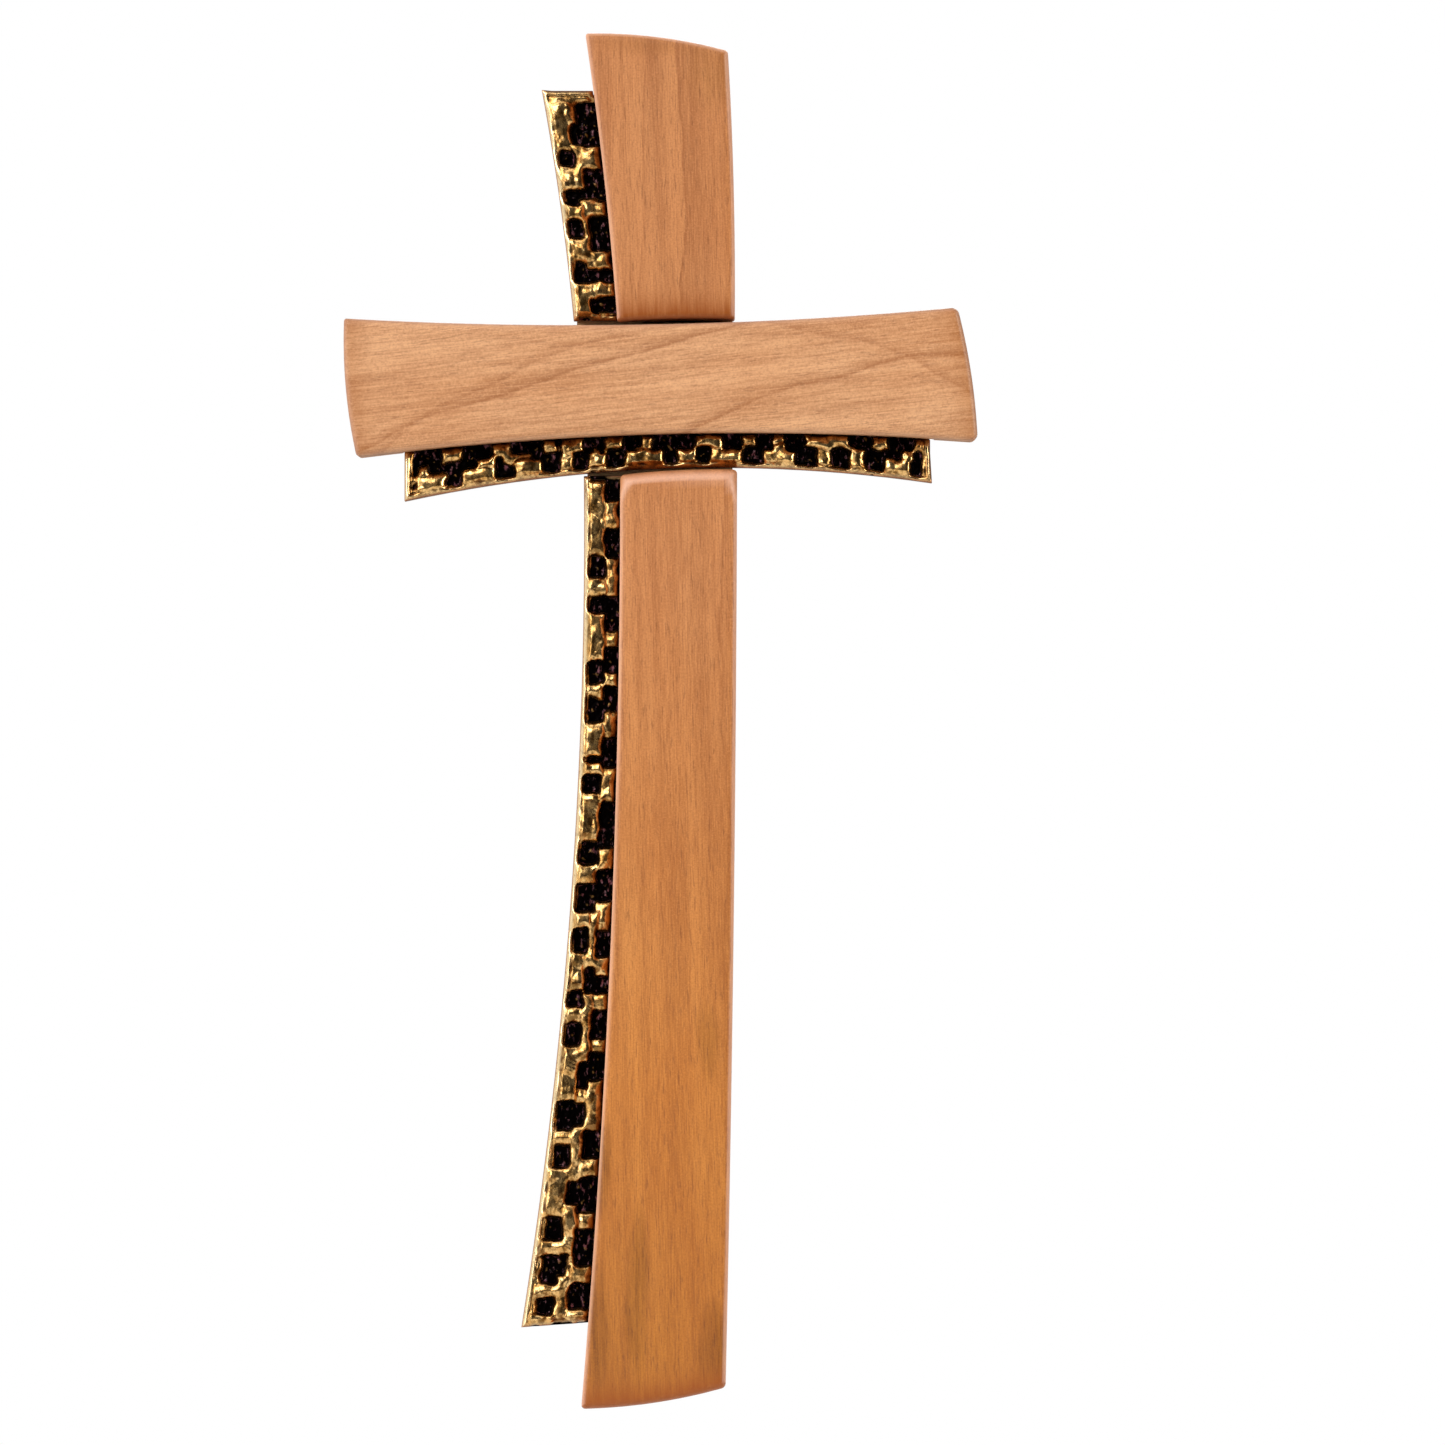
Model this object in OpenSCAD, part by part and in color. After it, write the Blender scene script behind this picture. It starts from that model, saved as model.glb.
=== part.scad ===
// Wall cross: three bowed wood panels with three cast bronze relief strips beside and below them,
// carried on two half-lapped battens with a keyhole plate for one wall screw.
// Z is up, X is across, the wall lies on the XZ plane and the front faces -Y. Millimetres.

/* [Wood panels] */
// Crossbar corners, across and up from the crossing
crossbar_top_left = [-68.8, 14.2];
crossbar_top_right = [64.8, 16.6];
crossbar_bottom_right = [69.2, -12.5];
crossbar_bottom_left = [-66.1, -15.9];
// Depth of the curve along the crossbar's top edge
crossbar_top_curve = 2.5; // [0:0.1:3]
// Depth of the curve along the crossbar's lower edge
crossbar_bottom_curve = 3.4; // [2.5:0.1:3.6]
// Upper shaft corners
upper_top_left = [-16.3, 76.4];
upper_top_right = [14.8, 72.6];
upper_bottom_right = [16.3, 14.1];
upper_bottom_left = [-9.3, 13.6];
// Lower shaft corners
lower_top_left = [-8.7, -19.8];
lower_top_right = [16.8, -18.6];
lower_bottom_right = [14.3, -218.7];
lower_bottom_left = [-17.2, -223.4];
// Depth of the curve along the lower shaft's left edge
lower_left_curve = 2.2; // [1.8:0.1:2.6]
// Thickness of the two shaft panels
shaft_thickness = 11; // [9:0.5:14]
// Thickness of the crossbar panel
crossbar_thickness = 12.5; // [9:0.5:16]
// Radius of the rounded front edges
front_round = 1.3; // [0.4:0.1:2]

/* [Cast reliefs] */
// Thickness of the casting at the bottom of its sunk cells
casting_floor = 4; // [3.5:0.1:4.5]
// Height of the plain rim above the sunk cells
rim_height = 1.6; // [0.6:0.1:2]
// Height of the lowest blocks above the sunk cells
block_height = 2.1; // [1:0.1:2.6]
// Step between the three block heights
block_step = 0.35; // [0:0.05:0.5]
// Width of the plain rim
rim_width = 1.3; // [0.8:0.05:1.4]
// How much wider the lower strip's rim gets at its bottom end
rim_spread = 1.6; // [0:0.1:1.8]
// How far each casting runs in under its wood panel
flange_width = 5; // [4.5:0.1:5.4]

/* [Battens and dowels] */
// Thickness of the battens against the wall
batten_thickness = 6; // [5:0.5:8]
// Width of both battens
batten_width = 16; // [14:1:17]
// Centre of the upright batten, across from the crossing
upright_centre = 2.5; // [2:0.5:3]
// Upright batten's top and bottom ends
upright_ends = [69, -211];
// Crossbar batten's left and right ends
crossbar_ends = [-57, 57];
// Top and bottom of the crossbar batten's wider middle
middle_ends = [18, -24];
// Left side of the wider middle, above and below the crossing
middle_left = [-18.3, -16];
// Right side of the wider middle
middle_right = 15.8; // [12:0.1:15.8]
// Radius of the wood dowels
dowel_radius = 2; // [1.5:0.1:2.5]
// Radial gap around dowels and screws in their holes
hole_gap = 0.05; // [0.03:0.01:0.15]

/* [Hanging plate] */
// Height of the keyhole's round hole above the crossing
hanger_height = 48; // [40:1:52]
// Radius of the keyhole's round hole, which passes the wall screw's head
keyhole_radius = 4; // [3.5:0.1:4.5]
// Width of the slot that hangs on the wall screw's shank
keyhole_slot = 3.6; // [3:0.1:4.2]
// Thickness of the plate
plate_thickness = 1.5; // [1:0.1:2]

/* [Hidden] */
$fn = 48;
batten_front = batten_thickness;
shaft_front = batten_front + shaft_thickness;
crossbar_front = batten_front + crossbar_thickness;
relief_floor = batten_front + casting_floor;
rebate_roof = relief_floor + 0.2;
flange_gap = 0.4;
edge_gap = 0.15;
screw_inset = 2.6;
wood_orange = [0.78, 0.51, 0.32];
wood_tan = [0.83, 0.61, 0.42];
wood_pale = [0.80, 0.66, 0.47];
bronze = [0.80, 0.62, 0.30];
steel = [0.72, 0.73, 0.75];

// Relief pattern. Where each column of blocks starts and ends, as fractions across from the free edge
lower_columns = [[0.1, 0.62], [0.45, 0.68], [0.6, 1]];
// The same for the outer and inner columns below the block with this number, where they are narrower
lower_narrow_from = 8;
lower_narrow = [[0.1, 0.47], [0.66, 1]];
// A thin bridge between the outer and inner columns near the bottom end: its span, and its start and end
lower_bridge = [[0.58, 0.69], [169.5, 174.8]];
upper_columns = [[0.1, 0.44], [0.42, 0.6], [0.58, 1]];
// The crossbar strip's columns at its ends, and how far they shift toward its middle
crossbar_columns = [[0.12, 0.46], [0.44, 0.69], [0.67, 1]];
crossbar_shift = [[0.02, 0.12], [0.06, 0], [-0.06, 0]];
// Each pair is where a raised block starts and ends along its column, in mm.
// Lower strip, measured down from its top end.
lower_outer_blocks = [[0.7, 17.3], [22, 26], [29.6, 40.2], [45, 48.3], [53.5, 61.3], [62.4, 65], [68.9, 79.6],
    [84.3, 89], [94.9, 98.6], [103.9, 112], [115.9, 119.3], [124.1, 136.3], [142.6, 146], [150.8, 161.6],
    [166.7, 170.1], [176.2, 179.5], [182.8, 185.2]];
lower_middle_blocks = [[94.9, 107.3], [112.6, 128.2], [133.6, 137], [141.8, 154], [158.7, 169.9],
    [174.4, 184.8]];
lower_inner_blocks = [[5.2, 11.3], [17.5, 26.3], [33.5, 37.3], [42.4, 45.8], [51.2, 57.1], [63.4, 71.2],
    [80.8, 85.9], [92.7, 99.2], [104.9, 109], [112.8, 116.6], [122.7, 125.9], [131.8, 142.9],
    [148.8, 153], [160.7, 164.5], [172.2, 176.4], [181.8, 184.4]];
// Upper strip, measured down from its top end.
upper_outer_blocks = [[2.9, 13], [16.5, 22], [25, 28.4], [32.2, 37.5], [41.9, 49.6]];
upper_middle_blocks = [[2.9, 7.5], [12.2, 21.8], [23.6, 39.2], [41.7, 45.7], [48.6, 50.3]];
upper_inner_blocks = [[12, 17.4], [23.8, 27.5], [35, 39.1], [41.6, 45.3], [48.6, 50.3]];
// Crossbar strip, measured across from the crossing.
crossbar_low_blocks = [[-53.3, -46.6], [-43.3, -35.9], [-31.8, -25.7], [-21.8, -19], [-15.7, -11.8],
    [-7.9, 0.8], [3.9, 8], [11, 18.2], [22.6, 29.7], [34.3, 37.5], [41.3, 44.9], [48.9, 54.5]];
crossbar_middle_blocks = [[-52.9, -50.7], [-40.3, -35.9], [-34.4, -27.9], [-21.8, -19], [-14.4, -13.1],
    [-5.3, -1.6], [11, 13.7], [24.5, 27.3], [34.3, 37.5], [41.3, 44.9], [52.8, 55.4]];
crossbar_high_blocks = [[-47.9, -43.1], [-37, -32.7], [-25.5, -22.7], [-21.8, -16.8], [-12.4, -8.1],
    [-4.4, -1.6], [7.6, 13.7], [17.8, 21.1], [24.5, 27.3], [31.5, 41.3], [46.3, 50], [55.4, 57]];

// ---- outlines -------------------------------------------------------------------------------
function unit(v) = v / norm(v);
function left_of(v) = [-v[1], v[0]];
// A point part way along a side that bows out to the left of its direction
function bow(a, b, curve, t) = a + (b - a) * t + left_of(unit(b - a)) * 4 * curve * t * (1 - t);
function side(a, b, curve, ra, rb, n) = [for (k = [0 : n - 1])
    bow(a, b, curve, ra / norm(b - a) + k / (n - 1) * (1 - (ra + rb) / norm(b - a)))];
// A near-round corner: a curve weighted toward its corner point
function corner(p, c, q) = [for (t = [0.25, 0.5, 0.75]) let(
    first = (1 - t) * (1 - t), middle = 1.4 * t * (1 - t), last = t * t)
    (first * p + middle * c + last * q) / (first + middle + last)];
function cross_2d(a, b) = a[0] * b[1] - a[1] * b[0];
function line_meet(p, d, q, g) = p + d * cross_2d(q - p, g) / cross_2d(d, g);
// Four corners moved in from their sides by d; the ring runs clockwise seen from the front
function inset(c, d) = [for (i = [0 : 3]) let(
    u = unit(c[i] - c[(i + 3) % 4]), v = unit(c[(i + 1) % 4] - c[i]))
    line_meet(c[i] - left_of(u) * d, u, c[i] - left_of(v) * d, v)];
// Ring of points that starts in the middle of the last side, so opposite points pair up across it
function ring(c, s, r) = let(
    n = 20, m = 8,
    last = side(c[3], c[0], s[3], r[3], r[0], m),
    one = side(c[0], c[1], s[0], r[0], r[1], n),
    two = side(c[1], c[2], s[1], r[1], r[2], m),
    three = side(c[2], c[3], s[2], r[2], r[3], n))
    concat([for (k = [m / 2 : m - 1]) last[k]], corner(last[m - 1], c[0], one[0]), one,
        corner(one[n - 1], c[1], two[0]), two, corner(two[m - 1], c[2], three[0]), three,
        corner(three[n - 1], c[3], last[0]), [for (k = [0 : m / 2 - 1]) last[k]]);

crossbar_corners = [crossbar_top_left, crossbar_top_right, crossbar_bottom_right, crossbar_bottom_left];
crossbar_curves = [-crossbar_top_curve, 0.8, -crossbar_bottom_curve, 1];
upper_corners = [upper_top_right, upper_bottom_right, upper_bottom_left, upper_top_left];
upper_curves = [0.5, -0.4, -0.6, 1.15];
lower_corners = [lower_top_right, lower_bottom_right, lower_bottom_left, lower_top_left];
lower_curves = [0.5, 1.04, -lower_left_curve, 0.5];

// Edges of the strips, as X at a height or height at an X
function upright_edge(a, b, curve, z) = let(t = (z - a[1]) / (b[1] - a[1]))
    a[0] + (b[0] - a[0]) * t + 4 * curve * t * (1 - t);
function level_edge(a, b, curve, x) = let(t = (x - a[0]) / (b[0] - a[0]))
    a[1] + (b[1] - a[1]) * t + 4 * curve * t * (1 - t);
function lower_outer(z) = upright_edge([-16.7, -19.8], [-30.2, -205], 3.9, z);
function lower_inner(z) = upright_edge(lower_top_left, lower_bottom_left, lower_left_curve, z);
function upper_outer(z) = upright_edge([-25.9, 64.5], [-18.9, 13.9], 0.57, z);
function upper_inner(z) = upright_edge(upper_top_left, upper_bottom_left, 0.6, z);
function crossbar_outer(x) = level_edge([-55.9, -25.4], [59.5, -21.4], 5.2, x);
function crossbar_inner(x) =
    level_edge(crossbar_bottom_left, crossbar_bottom_right, crossbar_bottom_curve, x);

// ---- building blocks ------------------------------------------------------------------------
// A flat shape made solid between two depths in front of the wall
module slab(back, front) {
    translate([0, -back, 0]) rotate([90, 0, 0]) linear_extrude(front - back) children();
}

// A round hole or peg between two depths
module peg(at, r, back, front) {
    translate([at[0], -back, at[1]]) rotate([90, 0, 0]) cylinder(r = r, h = front - back);
}

// A board with its front edge rounded all round
module board(c, s, r, back, front) {
    steps = [0, 22.5, 45, 67.5, 90];
    rings = concat([ring(c, s, r)],
        [for (a = steps) ring(inset(c, front_round * (1 - cos(a))), s, r * (1 - 0.6 * (1 - cos(a))))]);
    depths = concat([back], [for (a = steps) front - front_round * (1 - sin(a))]);
    n = len(rings[0]);
    top = len(rings) - 1;
    polyhedron(
        points = [for (k = [0 : top]) for (p = rings[k]) [p[0], -depths[k], p[1]]],
        faces = concat(
            [for (k = [0 : top - 1]) for (i = [0 : n - 1]) let(j = (i + 1) % n, low = k * n, high = low + n)
                for (f = [[low + i, low + j, high + j], [low + i, high + j, high + i]]) f],
            [for (i = [0 : n / 2 - 2]) for (f = [[i, i + 1, n - 1 - i], [i + 1, n - 2 - i, n - 1 - i]])
                [for (v = f) top * n + v]],
            [for (i = [0 : n / 2 - 2]) for (f = [[n - 1 - i, i + 1, i], [n - 1 - i, n - 2 - i, i + 1]]) f]));
}

// ---- relief strips --------------------------------------------------------------------------
// A place on each strip: fraction across from its free edge, and distance along it
function between(a, b, u) = a + u * (b - a);
function lower_place(u, v) = let(z = -20.2 - v)
    [between(lower_outer(z), lower_inner(z) - edge_gap, u), z];
function upper_place(u, v) = let(z = 64.3 - v)
    [between(upper_outer(z), upper_inner(z) - edge_gap, u), z];
function crossbar_place(u, x) =
    [x, between(crossbar_outer(x), crossbar_inner(x) - edge_gap, u)];
function steps(a, b) = let(n = max(1, ceil((b - a) / 6))) [for (k = [0 : n]) a + (b - a) * k / n];
function back_steps(a, b) = let(s = steps(a, b)) [for (k = [len(s) - 1 : -1 : 0]) s[k]];

module lower_cell(p, span) {
    polygon(concat([for (v = steps(p[0], p[1])) lower_place(span[0], v)],
        [for (v = back_steps(p[0], p[1])) lower_place(span[1], v)]));
}
module upper_cell(p, span) {
    polygon(concat([for (v = steps(p[0], p[1])) upper_place(span[0], v)],
        [for (v = back_steps(p[0], p[1])) upper_place(span[1], v)]));
}
module crossbar_cell(p, span) {
    polygon(concat([for (x = steps(p[0], p[1])) crossbar_place(span[0], x)],
        [for (x = back_steps(p[0], p[1])) crossbar_place(span[1], x)]));
}

// Blocks whose number in their column leaves the given remainder, so that three heights take turns
function pick(blocks, shift, turn) = [for (i = [0 : len(blocks) - 1]) if ((i + shift) % 3 == turn) i];
function lower_span(column, i) = i < lower_narrow_from ? lower_columns[column] : lower_narrow[column / 2];
module lower_blocks(turn) {
    for (i = pick(lower_outer_blocks, 0, turn)) lower_cell(lower_outer_blocks[i], lower_span(0, i));
    for (i = pick(lower_middle_blocks, 1, turn)) lower_cell(lower_middle_blocks[i], lower_columns[1]);
    for (i = pick(lower_inner_blocks, 2, turn)) lower_cell(lower_inner_blocks[i], lower_span(2, i));
    if (turn == 0) lower_cell(lower_bridge[1], lower_bridge[0]);
}
module upper_blocks(turn) {
    for (i = pick(upper_outer_blocks, 0, turn)) upper_cell(upper_outer_blocks[i], upper_columns[0]);
    for (i = pick(upper_middle_blocks, 1, turn)) upper_cell(upper_middle_blocks[i], upper_columns[1]);
    for (i = pick(upper_inner_blocks, 2, turn)) upper_cell(upper_inner_blocks[i], upper_columns[2]);
}
function swell(x) = max(0, 1 - pow(x / 50, 2));
function crossbar_span(column, x) = crossbar_columns[column] + swell(x) * crossbar_shift[column];
module crossbar_blocks(turn) {
    for (i = pick(crossbar_low_blocks, 0, turn)) let(p = crossbar_low_blocks[i])
        crossbar_cell(p, crossbar_span(0, p[0]));
    for (i = pick(crossbar_middle_blocks, 1, turn)) let(p = crossbar_middle_blocks[i])
        crossbar_cell(p, crossbar_span(1, p[0]));
    for (i = pick(crossbar_high_blocks, 2, turn)) let(p = crossbar_high_blocks[i])
        crossbar_cell(p, crossbar_span(2, p[0]));
}

function lower_rim_width(v) = rim_width + rim_spread * max(0, (v - 136) / 49);
module lower_rim() {
    polygon(concat([for (v = steps(0, 185.2)) lower_place(0, v)],
        [for (v = back_steps(0, 185.2)) lower_place(0, v) + [lower_rim_width(v), 0]]));
}
module upper_rim() {
    polygon(concat([for (v = steps(0, 50.3)) upper_place(0, v)],
        [for (v = back_steps(0, 50.3)) upper_place(0, v) + [rim_width, 0]]));
    upper_cell([0, 2.6], [0, 1]);
}
module crossbar_rim() {
    polygon(concat([for (x = steps(-55.8, 59.3)) crossbar_place(0, x)],
        [for (x = back_steps(-55.8, 59.3)) crossbar_place(0, x) + [0, 0.75 * rim_width]]));
    crossbar_cell([-55.8, -54.2], [0, 1]);
    crossbar_cell([57.4, 59], [0, 1]);
}

// The strips' outlines, flange included; the lower strip's bottom end rises toward the panel
module lower_strip() {
    polygon(concat([for (k = [0 : 30]) let(z = between(-19.9, -206, k / 30)) [lower_outer(z), z]],
        [for (k = [30 : -1 : 0]) let(z = between(-19.9, -204.6, k / 30))
            [lower_inner(z) + flange_width, z]]));
}
module upper_strip() {
    polygon(concat([for (k = [0 : 12]) let(z = between(64.5, 14.1, k / 12)) [upper_outer(z), z]],
        [for (k = [12 : -1 : 0]) let(z = between(63, 14.1, k / 12)) [upper_inner(z) + flange_width, z]]));
}
module crossbar_strip() {
    polygon(concat([for (k = [0 : 24]) let(x = between(-55.9, 59.4, k / 24)) [x, crossbar_outer(x)]],
        [for (k = [24 : -1 : 0]) let(x = between(-55.9, 58.5, k / 24))
            [x, crossbar_inner(x) + flange_width]]));
}
// The recesses in the backs of the panels that take the flanges
module lower_rebate() {
    polygon(concat([[-40, -15], [-40, -206.6]],
        [for (k = [30 : -1 : 0]) let(z = between(-15, -206.6, k / 30))
            [lower_inner(z) + flange_width + flange_gap, z]]));
}
module upper_rebate() {
    polygon(concat([[-40, 65], [-40, 8]],
        [for (k = [12 : -1 : 0]) let(z = between(65, 8, k / 12))
            [upper_inner(z) + flange_width + flange_gap, z]]));
}
module crossbar_rebate() {
    polygon(concat([[-56.3, -40], [59.9, -40]],
        [for (k = [24 : -1 : 0]) let(x = between(-56.3, 59.9, k / 24))
            [x, crossbar_inner(x) + flange_width + flange_gap]]));
}

// ---- fasteners' places ----------------------------------------------------------------------
lower_screws = [for (z = [-32, -89, -146, -197]) [lower_inner(z) + screw_inset, z]];
upper_screws = [for (z = [56, 22]) [upper_inner(z) + screw_inset, z]];
crossbar_screws = [for (x = [-48, -17, 20, 51]) [x, crossbar_inner(x) + screw_inset]];
relief_screw_places = concat(lower_screws, upper_screws, crossbar_screws);
upper_dowels = [[upright_centre, 26], [upright_centre, 64]];
lower_dowels = [[upright_centre, -40], [upright_centre, -120], [upright_centre, -200]];
crossbar_dowels = [[-46, 2], [-22, 2], [26, 2], [48, 2]];
lap_places = [[upright_centre, 4.5], [upright_centre, -4.5]];
hanger = [upright_centre, hanger_height];
plate_screws = [hanger + [0, -8], hanger + [0, 19]];

// Small countersunk screw, head flush with the back; the same shape a little larger is its hole
module countersunk(at, back, head, shank, length, gap) {
    translate([at[0], -back, at[1]]) rotate([90, 0, 0]) rotate_extrude()
        polygon([[0, 0], [head + gap, 0], [shank + gap, head - shank], [shank + gap, length - shank + gap],
            [0, length + gap]]);
}
module relief_screw(at, gap) {
    countersunk(at, batten_front + (gap > 0 ? 0 : 0.1), 1.8, 0.9, 9, gap);
}
module hanger_screw(at, gap) {
    countersunk(at, 0, 2.2, 1.1, 9, gap);
}
module dowel_holes(places, back) {
    for (p = places) peg(p, dowel_radius + hole_gap, back, batten_front + 6.1);
}
module keyhole(r, slot, back, front) {
    peg(hanger, r, back, front);
    translate([hanger[0] - slot / 2, -front, hanger[1]]) cube([slot, front - back, 11]);
    peg(hanger + [0, 11], slot / 2, back, front);
}

// ---- parts ----------------------------------------------------------------------------------
module crossbar_panel() {
    color(wood_tan) difference() {
        board(crossbar_corners, crossbar_curves, [0.6, 1.3, 1.5, 0.8], batten_front, crossbar_front);
        slab(batten_front - 1, rebate_roof) crossbar_rebate();
        dowel_holes(crossbar_dowels, batten_front - 1);
        for (p = lap_places) peg(p, dowel_radius + hole_gap, batten_front - 1, batten_front + 4.1);
        for (p = crossbar_screws) relief_screw(p, hole_gap);
    }
}

module upper_shaft_panel() {
    color(wood_orange) difference() {
        board(upper_corners, upper_curves, [0.7, 0.5, 0.5, 0.7], batten_front, shaft_front);
        slab(batten_front - 1, rebate_roof) upper_rebate();
        dowel_holes(upper_dowels, batten_front - 1);
        for (p = upper_screws) relief_screw(p, hole_gap);
        for (p = plate_screws) hanger_screw(p, hole_gap);
    }
}

module lower_shaft_panel() {
    color(wood_orange) difference() {
        board(lower_corners, lower_curves, [0.9, 0.9, 0.9, 0.9], batten_front, shaft_front);
        slab(batten_front - 1, rebate_roof) lower_rebate();
        dowel_holes(lower_dowels, batten_front - 1);
        for (p = lower_screws) relief_screw(p, hole_gap);
    }
}

// A casting: its plate, rim and blocks, drilled for its screws
module casting(places) {
    color(bronze) difference() {
        union() {
            slab(batten_front, relief_floor) children(0);
            slab(relief_floor - 0.5, relief_floor + rim_height) children(1);
            for (t = [0 : 2]) slab(relief_floor - 0.5, relief_floor + block_height + t * block_step)
                children(2 + t);
        }
        for (p = places) relief_screw(p, hole_gap);
    }
}

module crossbar_relief() {
    casting(crossbar_screws) {
        crossbar_strip();
        crossbar_rim();
        crossbar_blocks(0);
        crossbar_blocks(1);
        crossbar_blocks(2);
    }
}

module upper_relief() {
    casting(upper_screws) {
        upper_strip();
        upper_rim();
        upper_blocks(0);
        upper_blocks(1);
        upper_blocks(2);
    }
}

module lower_relief() {
    casting(lower_screws) {
        lower_strip();
        lower_rim();
        lower_blocks(0);
        lower_blocks(1);
        lower_blocks(2);
    }
}

// Upright batten: front half cut away at the crossing, recess and pocket behind the keyhole plate
module upright_batten() {
    half = batten_width / 2;
    color(wood_pale) difference() {
        translate([upright_centre - half, -batten_front, upright_ends[1]])
            cube([batten_width, batten_thickness, upright_ends[0] - upright_ends[1]]);
        translate([upright_centre - half - 1, -batten_front - 1, middle_ends[1] - 0.1])
            cube([batten_width + 2, batten_thickness / 2 + 1.05, middle_ends[0] - middle_ends[1] + 0.2]);
        translate([hanger[0] - 6.1, -plate_thickness - 0.05, hanger[1] - 11.1]) cube([12.2, 3, 33.2]);
        translate([hanger[0] - 5, -batten_front - 1, hanger[1] - 4.6]) cube([10, batten_front + 2, 19.6]);
        dowel_holes(concat(upper_dowels, lower_dowels), 1.9);
        for (p = lap_places) peg(p, dowel_radius + hole_gap, 0.9, batten_front);
        for (p = plate_screws) hanger_screw(p, hole_gap);
    }
}

// Crossbar batten: a wider middle backs the joints between the boards; back half cut away at the crossing
module crossbar_batten() {
    half = batten_width / 2;
    color(wood_pale) difference() {
        union() {
            translate([crossbar_ends[0], -batten_front, -half])
                cube([crossbar_ends[1] - crossbar_ends[0], batten_thickness, batten_width]);
            translate([middle_left[0], -batten_front, 0])
                cube([middle_right - middle_left[0], batten_thickness, middle_ends[0]]);
            translate([middle_left[1], -batten_front, middle_ends[1]])
                cube([middle_right - middle_left[1], batten_thickness, -middle_ends[1]]);
        }
        translate([upright_centre - half - 0.1, -batten_thickness / 2, middle_ends[1] - 1])
            cube([batten_width + 0.2, batten_thickness, middle_ends[0] - middle_ends[1] + 2]);
        dowel_holes(crossbar_dowels, 1.9);
        for (p = lap_places) peg(p, dowel_radius + hole_gap, 0.9, batten_front + 1);
    }
}

module panel_dowels() {
    color(wood_pale) for (p = concat(upper_dowels, lower_dowels, crossbar_dowels))
        peg(p, dowel_radius, 2, batten_front + 6);
}

module lap_dowels() {
    color(wood_pale) for (p = lap_places) peg(p, dowel_radius, 1, batten_front + 4);
}

module relief_screws() {
    color(steel) for (p = relief_screw_places) relief_screw(p, 0);
}

module hanger_plate() {
    color(steel) difference() {
        translate([hanger[0] - 6, -plate_thickness, hanger[1] - 11]) cube([12, plate_thickness, 33]);
        keyhole(keyhole_radius, keyhole_slot, -1, plate_thickness + 1);
        for (p = plate_screws) hanger_screw(p, hole_gap);
    }
}

module hanger_screws() {
    color(steel) for (p = plate_screws) hanger_screw(p, 0);
}

// The frame's origin is the centre of the keyhole's round hole on the wall plane
module placed() {
    translate([-hanger[0], 0, -hanger[1]]) children();
}

placed() crossbar_panel();
placed() upper_shaft_panel();
placed() lower_shaft_panel();
placed() crossbar_relief();
placed() upper_relief();
placed() lower_relief();
placed() upright_batten();
placed() crossbar_batten();
placed() panel_dowels();
placed() lap_dowels();
placed() relief_screws();
placed() hanger_plate();
placed() hanger_screws();
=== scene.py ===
"""A wall cross of wood boards and chased bronze castings, with the battens and fittings behind them."""

import math
from collections import namedtuple

import bmesh
import bpy
import numpy as np
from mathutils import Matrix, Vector
from mathutils.bvhtree import BVHTree

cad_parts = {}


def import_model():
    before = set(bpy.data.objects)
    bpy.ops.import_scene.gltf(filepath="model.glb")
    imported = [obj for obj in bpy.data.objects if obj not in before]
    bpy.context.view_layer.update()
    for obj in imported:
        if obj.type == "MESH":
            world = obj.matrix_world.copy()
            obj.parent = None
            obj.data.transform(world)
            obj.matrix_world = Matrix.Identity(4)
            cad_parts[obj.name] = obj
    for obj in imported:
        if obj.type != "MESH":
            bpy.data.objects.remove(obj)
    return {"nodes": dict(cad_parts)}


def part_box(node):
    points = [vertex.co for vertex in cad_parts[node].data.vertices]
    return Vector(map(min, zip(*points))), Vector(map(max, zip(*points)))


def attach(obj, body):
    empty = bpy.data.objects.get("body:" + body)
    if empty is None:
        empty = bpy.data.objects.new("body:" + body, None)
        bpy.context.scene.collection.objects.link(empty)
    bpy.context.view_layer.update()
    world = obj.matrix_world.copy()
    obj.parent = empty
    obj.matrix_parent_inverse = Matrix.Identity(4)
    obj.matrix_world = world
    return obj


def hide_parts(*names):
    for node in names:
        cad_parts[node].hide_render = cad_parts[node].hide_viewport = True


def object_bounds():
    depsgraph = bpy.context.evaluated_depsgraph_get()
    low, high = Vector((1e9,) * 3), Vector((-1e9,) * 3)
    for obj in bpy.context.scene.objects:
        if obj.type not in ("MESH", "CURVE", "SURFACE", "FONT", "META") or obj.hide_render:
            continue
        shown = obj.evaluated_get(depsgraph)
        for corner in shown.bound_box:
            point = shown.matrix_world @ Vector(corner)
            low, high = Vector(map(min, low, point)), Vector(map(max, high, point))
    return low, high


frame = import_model()
cad_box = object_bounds()
nodes = frame["nodes"]
MM = 0.001


# ---- outlines taken from the frame ---------------------------------------------------------
def section(part, depth):
    """The CAD part's mesh cut off at a depth in front of the wall, with its bores closed: (bmesh, rim)."""
    bm = bmesh.new()
    bm.from_mesh(nodes[part].data)
    bmesh.ops.remove_doubles(bm, verts=bm.verts, dist=1e-6)
    geometry = bm.verts[:] + bm.edges[:] + bm.faces[:]
    bmesh.ops.bisect_plane(
        bm, geom=geometry, plane_co=(0, -depth, 0), plane_no=(0, -1, 0), clear_outer=True, dist=1e-7
    )
    loops = sorted(open_loops(bm), key=lambda loop: abs(signed_area(flat(loop))))
    for bore in loops[:-1]:
        bm.faces.new(bore)
    rim = loops[-1]
    if signed_area(flat(rim)) < 0:
        rim.reverse()
    return bm, rim


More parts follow.
